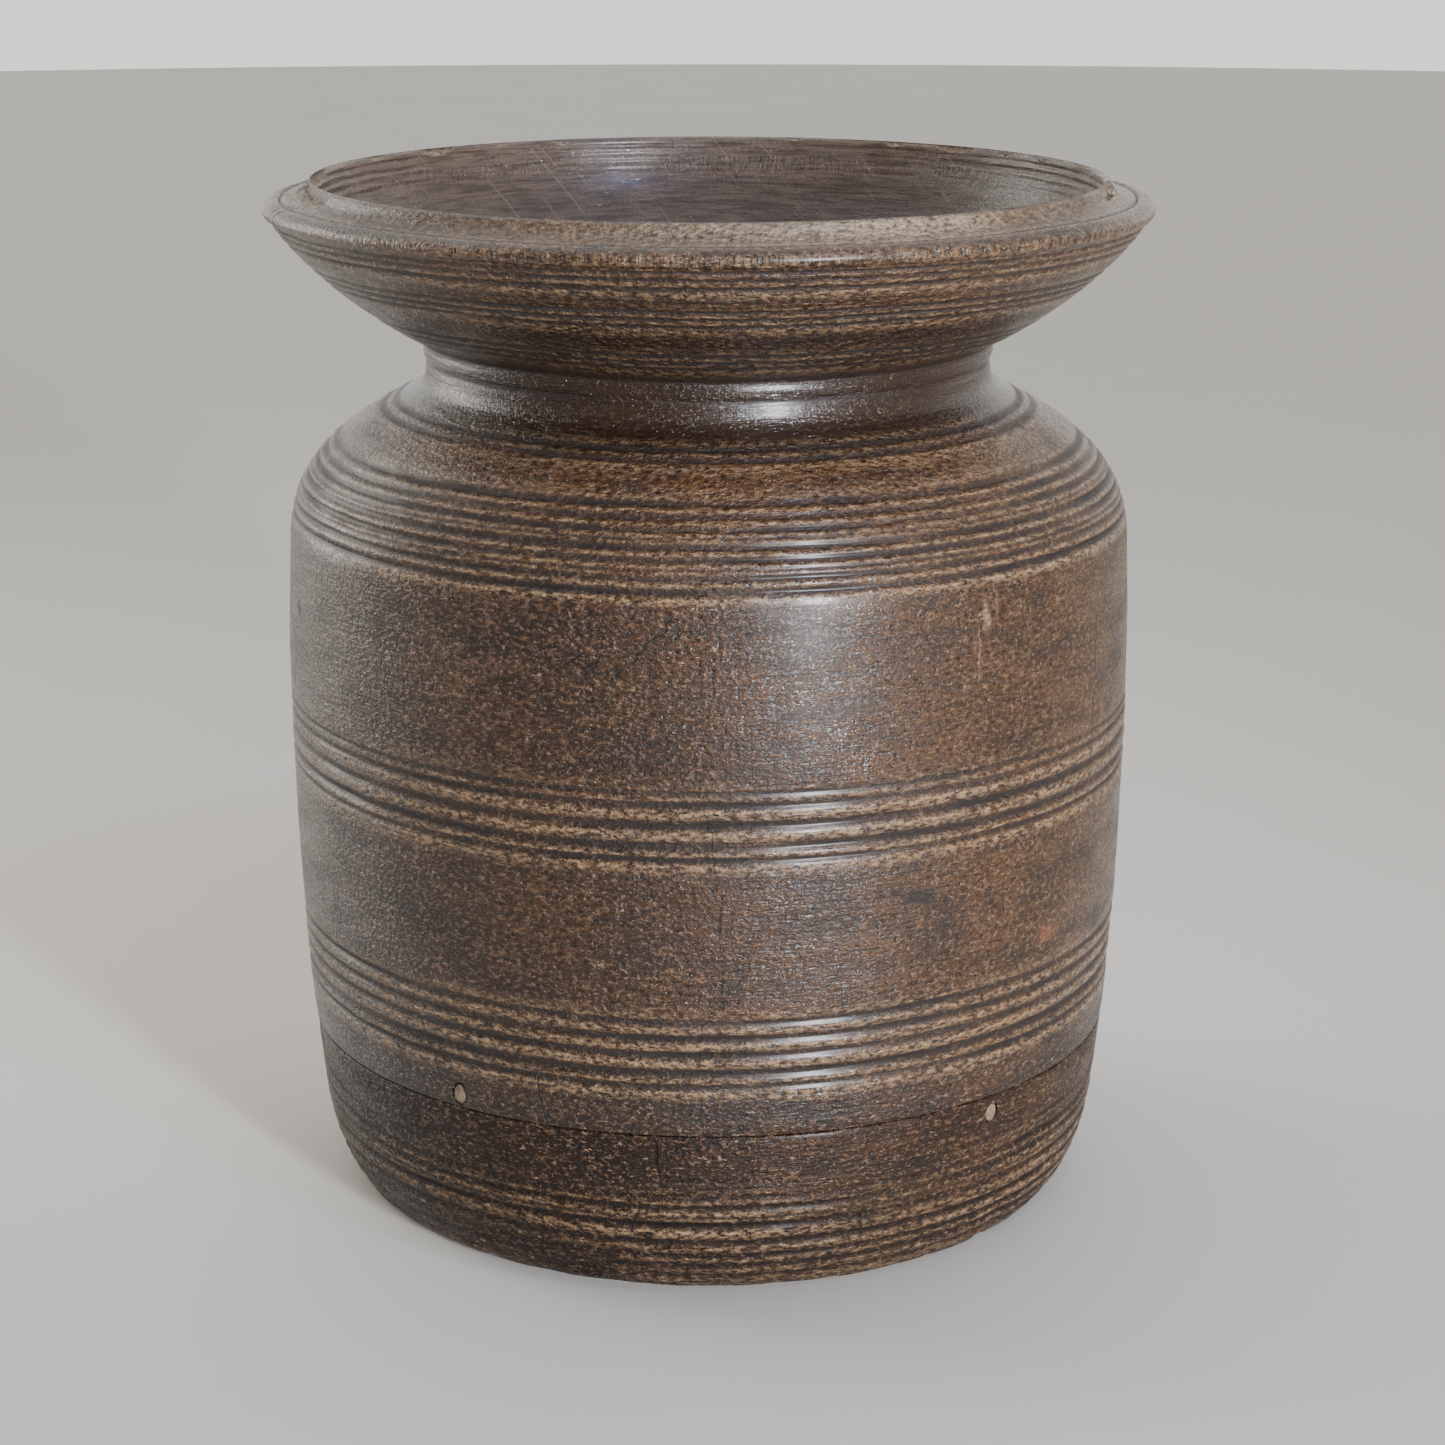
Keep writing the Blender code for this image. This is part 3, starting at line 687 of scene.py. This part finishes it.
        # the grooves wander slightly up and down, fading out at the seam and the rim
        fade = np.clip((height - SEAM - 1.0) / 6.0, 0, 1) * np.clip((323.5 - height) / 6.0, 0, 1)
        wander = 0.28 * drift(turn, height, 9, 40.0, 11) + 0.12 * drift(turn, height, 34, 12.0, 12)
        depth = np.zeros_like(height)
        hollow, crest = np.zeros_like(height), np.zeros_like(height)
        cut, down, edge = cut_rings(turn, height, FLARE_RINGS + SHOULDER_RINGS + BELLY_RINGS
            + LOWER_RINGS, 100)
        depth[outer_side] = cut[outer_side] * shape.ring_depth
        hollow[outer_side], crest[outer_side] = down[outer_side], edge[outer_side]
        cut, down, edge = cut_rings(turn, height, MOUTH_RINGS, 300)
        mouth_side = row > ends["throat"] - 0.5
        depth[mouth_side] = cut[mouth_side]
        hollow[mouth_side] = 0.35 * down[mouth_side]
        crest[mouth_side] = 0.4 * edge[mouth_side]
        rim_side = (row >= ends["lip"] - 0.5) & (row < ends["rim"] + 0.5)
        line = np.exp(-((radius - 138.2) / 0.42) ** 2) * rim_side * (height > 329)
        hollow = np.maximum(hollow, line * 0.35)
        # rubbed edges, with painted highlight on the ledge, its outer edge and the lip, the faces
        # that catch the light from above
        crest = np.maximum(crest, rim_side * (0.5 * np.exp(-((radius - 140.2) / 1.2) ** 2)
            + 0.35 * np.exp(-((radius - 143.7) / 0.5) ** 2)))
        crest = np.maximum(crest, (row < ends["lip"]) * 0.2)
        crest = np.maximum(crest, ((row >= ends["lip"]) & (radius > 133) & (radius < 137.5)
            & (height > 330)) * 0.45)
        hollow = np.maximum(hollow, outer_side * 0.75 * np.exp(-((height - 277.4) / 0.8) ** 2)
            * np.clip(0.5 + drift(turn, height * 0, 30, 1.0, 15), 0, 1))
        hollow = np.maximum(hollow, outer_side * 0.6 * np.exp(-((height - 284.2) / 0.9) ** 2))

        # broad swells, dents and a roughened surface
        swell = uneven * drift(turn, height, 8, 45.0, 21) \
            + 0.45 * uneven * drift(turn, height, 30, 11.0, 22)
        dents = np.clip(drift(turn, height, 44, 9.0, 23) - 0.72, 0, 1) * 1.1
        rough = 0.10 * drift(turn, height, 120, 1.6, 24)
        move = -depth + swell - dents + rough * (0.4 + crest + hollow)
        move[joint_faces(row, ends["side"], ends["lower"])] = 0.0
        wide = 0.35 * np.cos(2 * np.radians(turn - 35)) - 0.35
        radius = radius + nr * move + wide * (height / POT_HEIGHT)
        height = height + nz * move * 0.9 + np.where(outer_side, wander * fade, 0.0)

        # the broken and chipped lip
        on_lip = (row < ends["lip"] + 1.5) | ((row > ends["throat"] - 0.5) & (height > 329.5))
        top = np.full_like(height, POT_HEIGHT - 0.05)
        # painted light: the lip is paled most at the front, where the light falls, over a little
        # bare wood all round
        bare = ((row < ends["lip"] + 3.5) | (row > ends["mouth"] - 2.5)) \
            * np.clip(0.60 * np.exp(-((turn - 18) / 27) ** 2) + 0.02
            + 0.13 * drift(turn, radius * 0, 40, 1.0, 35), 0.0, 0.7)
        jag = 0.55 * drift(turn, radius * 0, 150, 1.0, 31) \
            + 0.4 * drift(turn, radius * 0, 300, 1.0, 32)
        top += 0.22 * drift(turn, radius * 0, 24, 1.0, 33) - 0.3 \
            + np.where(np.abs(turn) > 95, 0.34, 0.12) * jag
        for start, end, ramp_in, ramp_out in LIP_BREAKS:
            inside_break = np.clip((turn + 0.6 * jag - start) / ramp_in, 0, 1) \
                * np.clip((end - turn - 0.5 * jag) / ramp_out, 0, 1)
            floor_height = LIP_SHELF + 0.45 * jag + (133.0 - radius) * 0.07 \
                + 0.8 * drift(turn, radius, 110, 1.6, 34)
            gone = np.where(on_lip, inside_break, 0.0)
            top = top * (1 - gone) + floor_height * gone
            bare = np.maximum(bare, gone * (height > floor_height - 0.4))
        for chip_turn, half, deep in LIP_CHIPS:
            off = (turn - chip_turn + 180) % 360 - 180
            chip = np.clip(1 - (np.abs(off + 0.3 * jag) / half) ** 2, 0, 1) ** 0.6
            floor_height = POT_HEIGHT - 0.3 - deep * chip
            bare = np.maximum(bare, np.where(on_lip & (height > floor_height - 0.3), chip * 0.8, 0))
            top = np.where(on_lip, np.minimum(top, floor_height), top)
        height = np.where(on_lip, np.minimum(height, top), height)
        # the splintered inner wall below the right-hand break
        splinter = mouth_side * np.clip(1 - np.abs((turn - 92) / 20), 0, 1) \
            * np.clip((height - 312) / 8, 0, 1) * np.clip((336 - height) / 2, 0, 1)
        flake = np.clip(drift(turn + height * 0.9, height, 110, 5.0, 36) - 0.1, 0, 1)
        radius = radius + splinter * flake * 0.9
        bare = np.maximum(bare, splinter * flake * 0.8)

        height = np.minimum(height, POT_HEIGHT - 0.02)
        radius = np.minimum(radius, RIM_RADIUS - 0.05)
        write(item, turn, radius, height, hollow=hollow, crest=crest, bare=np.clip(bare, 0, 1),
            inner=inside.astype(float))
        drill_peg_holes(item)
        finish = old_turned_wood("waxed_turned_log_wood", colours, CRACKS,
            {"shade": 0.68, "roughness": 0.20, "specular": 0.36, "wax": 0.28})
        finish_piece(item, finish, "body_wood", "pot_body")
        return {'FINISHED'}


class POT_OT_base(bpy.types.Operator):
    """Turns the let-in base with its tenon, worn foot and standing ring"""
    bl_idname = "pot.base"
    bl_label = "Let-in Base"

    def execute(self, context):
        shape, colours = context.scene.pot_shape, context.scene.pot_finish
        floor = [(0.0, 25.0), (1.5, 25.0), (8.0, 25.0), (18.0, 25.0), (30.0, 25.0), (42.0, 25.0),
            (56.0, 25.1)]
        hollow_side = curve((74.0, 25.8), (98.0, 27.0), (110.0, 38.0), (111.5, 56.0), 11)
        tenon = [(111.5, 63.0), (111.5, 67.5), (116.0, 72.0), (121.6, 72.0), (122.0, 71.6),
            (122.0, 64.0), (122.0, SEAM - 0.3)]
        heights = np.linspace(SEAM, 30.0, 100)
        foot_line = np.vstack([np.column_stack([barrel(heights), heights]),
            curve((barrel(30.0), 30.0), (129.9, 20.0), (126.2, 6.0), (118.6, 0.7), 120)[1:]])
        side = side_rows(foot_line, SEAM - 0.7, 0.9, FOOT_RINGS, plain=2.4)
        shoulder = [(barrel(SEAM) - 0.4, SEAM - 0.3)]
        under = [(117.6, 0.25), (116.5, 0.0), (112.0, 0.0), (107.0, 0.0), (102.0, 0.0),
            (99.0, 0.0), (97.5, 1.2), (95.0, 3.4), (90.0, 3.8), (82.0, 4.0), (70.0, 4.3),
            (58.0, 4.5), (44.0, 4.5), (30.0, 4.5), (16.0, 4.5), (6.0, 4.5), (0.0, 4.5)]
        parts = {"floor": floor, "hollow": hollow_side, "tenon": tenon, "shoulder": shoulder,
            "side": side, "under": under}
        rows = np.vstack(list(parts.values()))
        ends = dict(zip(parts, np.cumsum([len(part) for part in parts.values()])))
        item = turn_profile("let_in_base", rows, False, shape.sides)
        turn, radius, height, row = read(item)
        normals = row_normals(rows, False)
        index = np.clip(np.rint(row).astype(int), 0, len(rows) - 1)
        nr, nz = normals[index, 0], normals[index, 1]
        outside = (row > ends["shoulder"] - 0.5) & (row < ends["side"] + 1.5)
        inside = row < ends["tenon"] - 4.5
        under_side = row > ends["side"] + 0.5
        depth, hollow, crest = cut_rings(turn, height, FOOT_RINGS, 500)
        worn_out = np.clip(0.55 + 0.7 * drift(turn, height, 14, 14.0, 51), 0.15, 1.2)
        depth, hollow, crest = (np.where(outside, v * worn_out, 0.0)
            for v in (depth, hollow, crest))
        swell = 0.3 * drift(turn, height, 10, 30.0, 52)
        wear = shape.wear / MM
        knocks = np.clip(drift(turn, height, 60, 6.0, 53) - 0.36, 0, 1) * 2.4 * wear \
            + np.clip(drift(turn, height, 130, 2.6, 54) - 0.4, 0, 1) * 0.7 * wear
        low_down = np.clip((30 - height) / 24, 0, 1)
        rough = 0.14 * drift(turn, height, 150, 1.5, 55) + 0.12 * drift(turn, height, 70, 4.0, 56)
        near_seam = np.clip((SEAM - 0.6 - height) / 4.0, 0, 1)
        move = np.where(outside, (-depth * shape.ring_depth + (swell - knocks * (0.5 + low_down))
            * near_seam + rough * (0.5 + low_down)), 0.0)
        rings = 0.10 * np.sin(radius * 1.9) + 0.14 * drift(turn, radius, 20, 9.0, 57)
        move = np.where(inside & (radius > 3), rings, move)
        move = np.where(under_side & (radius < 94) & (radius > 3),
            0.22 * np.sin(radius * 1.35) + 0.2 * drift(turn, radius, 16, 12.0, 58), move)
        wide = (0.35 * np.cos(2 * np.radians(turn - 35)) - 0.35) * outside
        radius = radius + nr * move + wide * (height / POT_HEIGHT)
        height = np.maximum(height + nz * move, 0.0)
        ring_wear = (row > ends["side"] + 0.5) & (row < ends["side"] + 6.5)
        height = np.where(ring_wear,
            height + np.clip(0.12 * drift(turn, radius, 60, 5.0, 59), 0, 1), height)
        bare = np.where(under_side, 0.62 + 0.2 * drift(turn, radius, 18, 16.0, 60), 0.0)
        edge = outside * np.exp(-((height - 2.5) / 3.0) ** 2)
        crest = np.maximum(crest,
            0.5 * edge * np.clip(0.5 + drift(turn, height, 40, 5.0, 61), 0, 1))
        write(item, turn, radius, height, hollow=hollow, crest=crest, bare=np.clip(bare, 0, 1),
            inner=inside.astype(float))
        drill_peg_holes(item)
        # the base's browns are drawn darker than the body's (0.56 against 0.68) as painted shade on
        # the lower piece
        finish = old_turned_wood("worn_turned_base_wood", colours, BASE_CRACKS,
            {"shade": 0.56, "roughness": 0.28, "specular": 0.22, "wax": 0.08})
        finish_piece(item, finish, "base_wood", "base_bowl")
        return {'FINISHED'}


def peg_axis(turn, height, downward):
    """Where a peg's axis meets the outside, its direction into the wood, and straight outward."""
    outward = Vector((math.sin(math.radians(turn)), -math.cos(math.radians(turn)), 0.0))
    slant = math.radians(PEG_SLANT) * (-1 if downward else 1)
    entry = outward * barrel(height) + Vector((0, 0, height))
    return entry, outward * -math.cos(slant) + Vector((0, 0, math.sin(slant))), outward


def drill_peg_holes(item):
    """Cuts the four slanted peg holes through a turned piece."""
    drills = []
    for _, turn, height, downward in PEGS:
        entry, inward, _ = peg_axis(turn, height, downward)
        bpy.ops.object.select_all(action='DESELECT')
        bpy.ops.mesh.primitive_cylinder_add(vertices=40, radius=PEG_HOLE_RADIUS * MM,
            depth=27.3 * MM, location=(entry + inward * 5.65) * MM,
            rotation=inward.to_track_quat('Z', 'Y').to_euler())
        drills.append(bpy.context.object)
    for drill in drills:
        drill.select_set(True)
    bpy.ops.object.join()
    bpy.ops.object.transform_apply(location=True, rotation=True, scale=True)
    drill = bpy.context.object
    only(item)
    before = len(item.data.vertices)
    cut = item.modifiers.new("peg holes", 'BOOLEAN')
    cut.operation, cut.solver, cut.object = 'DIFFERENCE', 'MANIFOLD', drill
    bpy.ops.object.modifier_apply(modifier=cut.name)
    if len(item.data.vertices) == before:
        raise RuntimeError("the peg holes were not cut in " + item.name)
    bpy.data.objects.remove(drill)


class POT_OT_pegs(bpy.types.Operator):
    """Drives the four slanted pegs and trims them to the wall"""
    bl_idname = "pot.pegs"
    bl_label = "Slanted Pegs"

    def execute(self, context):
        finish = peg_end_grain(context.scene.pot_finish)
        for number, (node, turn, height, downward) in enumerate(PEGS):
            entry, inward, outward = peg_axis(turn, height, downward)
            bpy.ops.object.select_all(action='DESELECT')
            bpy.ops.mesh.primitive_cylinder_add(
                vertices=28, radius=PEG_RADIUS * MM, depth=24.0 * MM, end_fill_type='NGON',
                location=(entry + inward * 6.9) * MM,
                rotation=inward.to_track_quat('Z', 'Y').to_euler())
            item = bpy.context.object
            item.name = item.data.name = "driven_" + node
            bpy.ops.object.transform_apply(location=True, rotation=True, scale=True)
            bpy.ops.object.mode_set(mode='EDIT')
            bpy.ops.mesh.select_all(action='SELECT')
            face = (entry - outward * 0.45) * MM
            bpy.ops.mesh.bisect(plane_co=face, plane_no=outward, use_fill=True, clear_outer=True)
            # the trimmed end stands a little proud in the middle, with a rounded dirty edge
            bpy.ops.mesh.inset(thickness=0.35 * MM, depth=0.22 * MM)
            bpy.ops.mesh.inset(thickness=0.8 * MM, depth=0.06 * MM)
            bpy.ops.mesh.inset(thickness=0.7 * MM, depth=0.0)
            bpy.ops.mesh.poke()
            bpy.ops.object.mode_set(mode='OBJECT')
            co = np.array([v.co for v in item.data.vertices]) / MM
            out = (co - np.array(entry)) @ np.array(outward)
            spot = np.random.default_rng(70 + number).uniform(-0.14, 0.10, len(co))
            end = out > -1.0
            co[end] += np.outer(spot[end], np.array(outward))
            item.data.vertices.foreach_set("co", (co * MM).ravel())
            across = co - np.array(entry)
            across = np.linalg.norm(across - np.outer(across @ np.array(inward), inward), axis=1)
            rim = item.data.attributes.new("rim", 'FLOAT', 'POINT')
            rim.data.foreach_set("value", np.where(across > 2.3, 0.9, 0.0).astype(np.float32))
            item.data.update()
            finish_piece(item, finish, "peg_wood", node, smooth=35.0)
        return {'FINISHED'}


class POT_OT_pitch(bpy.types.Operator):
    """Lays the lumpy pitch bead in the groove at the tenon's inner corner"""
    bl_idname = "pot.pitch"
    bl_label = "Pitched Joint"

    def execute(self, context):
        rows = [(112.2, 71.93), (114.6, 71.93), (115.2, 71.7), (114.2, 70.8), (112.8, 69.3),
            (111.7, 68.2), (111.1, 68.3), (110.6, 68.9), (110.35, 69.7), (110.4, 70.5),
            (110.9, 71.3), (111.5, 71.8)]
        item = turn_profile("pitch_bead", rows, True, context.scene.pot_shape.sides)
        turn, radius, height, _ = read(item)
        free = (radius < 111.3) & (height < 71.6)
        lump = 0.16 * drift(turn, height, 90, 1.5, 81) + 0.1 * drift(turn, height, 36, 2.0, 82)
        radius = radius + np.where(free, lump + 0.1, 0.0)
        write(item, turn, radius, height)
        finish_piece(item, pine_pitch(), "pitch", "joint_seal")
        return {'FINISHED'}


class POT_OT_stage(bpy.types.Operator):
    """Sets the plain floor, the soft studio light and the camera"""
    bl_idname = "pot.stage"
    bl_label = "Stage"

    def execute(self, context):
        settings = context.scene.pot_stage
        bpy.ops.object.select_all(action='DESELECT')
        bpy.ops.mesh.primitive_circle_add(vertices=128, radius=5.0, fill_type='NGON',
            location=(0, 0, 0))
        floor = context.object
        floor.name = floor.data.name = "floor"
        floor.data.materials.append(studio_floor(settings))

        # a pale wall behind the pot and a dimmer room in front of it
        world = bpy.data.worlds.new("soft_room")
        world.use_nodes = True
        context.scene.world = world
        air = world.node_tree.nodes["Background"]
        air.inputs["Color"].default_value = linear("#e9e7e3")
        toward = add(world.node_tree, "ShaderNodeSeparateXYZ",
            {0: add(world.node_tree, "ShaderNodeTexCoord")}, out=1)
        glow = add(world.node_tree, "ShaderNodeMapRange",
            {0: toward, 1: -0.4, 2: 0.7, 3: 0.20, 4: 1.6}, interpolation_type='SMOOTHSTEP')
        world.node_tree.links.new(glow, air.inputs["Strength"])

        for name, place, target, size, power, spread, tone in (
                ("window", (0.80, -1.60, 0.40), (0.0, 0.0, 0.22), (0.14, 0.55),
                    settings.key_power, 50, "#f3f6ff"),
                ("left_wall", (-1.5, 0.75, 0.60), (0.0, 0.0, 0.15), (1.0, 1.1), 6.5, 90, "#fffaf2"),
                ("sky", (0.60, -0.85, 1.50), (-0.02, 0.08, 0.31), (0.25, 0.25),
                    0.45, 40, "#a9c0ff")):
            bpy.ops.object.select_all(action='DESELECT')
            aim = (Vector(target) - Vector(place)).to_track_quat('-Z', 'Y').to_euler()
            bpy.ops.object.light_add(type='AREA', location=place, rotation=aim)
            lamp = context.object
            lamp.name = lamp.data.name = name
            lamp.data.shape = 'RECTANGLE'
            lamp.data.size, lamp.data.size_y = size
            lamp.data.spread = math.radians(spread)
            lamp.data.energy = power
            lamp.data.color = linear(tone)[:3]
            lamp.visible_camera = False
        bpy.ops.object.light_add(type='SUN', location=(0.0, 0.3, 2.0),
            rotation=(math.radians(-16), math.radians(-8), 0.0))
        lamp = context.object
        lamp.name = lamp.data.name = "ceiling"
        lamp.data.energy = 0.85
        lamp.data.angle = math.radians(70)

        bpy.ops.object.select_all(action='DESELECT')
        bpy.ops.object.camera_add(location=(0.0, -1.0974, 0.4524),
            rotation=(math.radians(74.71), 0.0, math.radians(-0.242)))
        camera = context.object
        camera.name = camera.data.name = "camera"
        camera.data.sensor_width = 36.0
        camera.data.lens = settings.lens
        camera.data.dof.use_dof = False
        camera.data.clip_start, camera.data.clip_end = 0.05, 50.0
        context.scene.camera = camera
        return {'FINISHED'}


class POT_PT_panel(bpy.types.Panel):
    """The pot's pieces in the order they are made"""
    bl_idname = "POT_PT_panel"
    bl_label = "Turned Wooden Pot"
    bl_space_type = 'VIEW_3D'
    bl_region_type = 'UI'
    bl_category = "Pot"

    def draw(self, context):
        layout = self.layout
        for group in (context.scene.pot_shape, context.scene.pot_finish, context.scene.pot_stage):
            for key in group.__annotations__:
                layout.prop(group, key)
        for operator in OPERATORS:
            layout.operator(operator.bl_idname)


OPERATORS = (POT_OT_body, POT_OT_base, POT_OT_pitch, POT_OT_pegs, POT_OT_stage)
CLASSES = (POT_PG_shape, POT_PG_finish, POT_PG_stage) + OPERATORS + (POT_PT_panel,)


def register():
    for kind in CLASSES:
        bpy.utils.register_class(kind)
    bpy.types.Scene.pot_shape = bpy.props.PointerProperty(type=POT_PG_shape)
    bpy.types.Scene.pot_finish = bpy.props.PointerProperty(type=POT_PG_finish)
    bpy.types.Scene.pot_stage = bpy.props.PointerProperty(type=POT_PG_stage)


def unregister():
    del bpy.types.Scene.pot_stage, bpy.types.Scene.pot_finish, bpy.types.Scene.pot_shape
    for kind in reversed(CLASSES):
        bpy.utils.unregister_class(kind)


def main():
    register()
    bpy.ops.pot.body()
    bpy.ops.pot.base()
    bpy.ops.pot.pitch()
    bpy.ops.pot.pegs()
    bpy.ops.pot.stage()


if __name__ == "__main__":
    main()
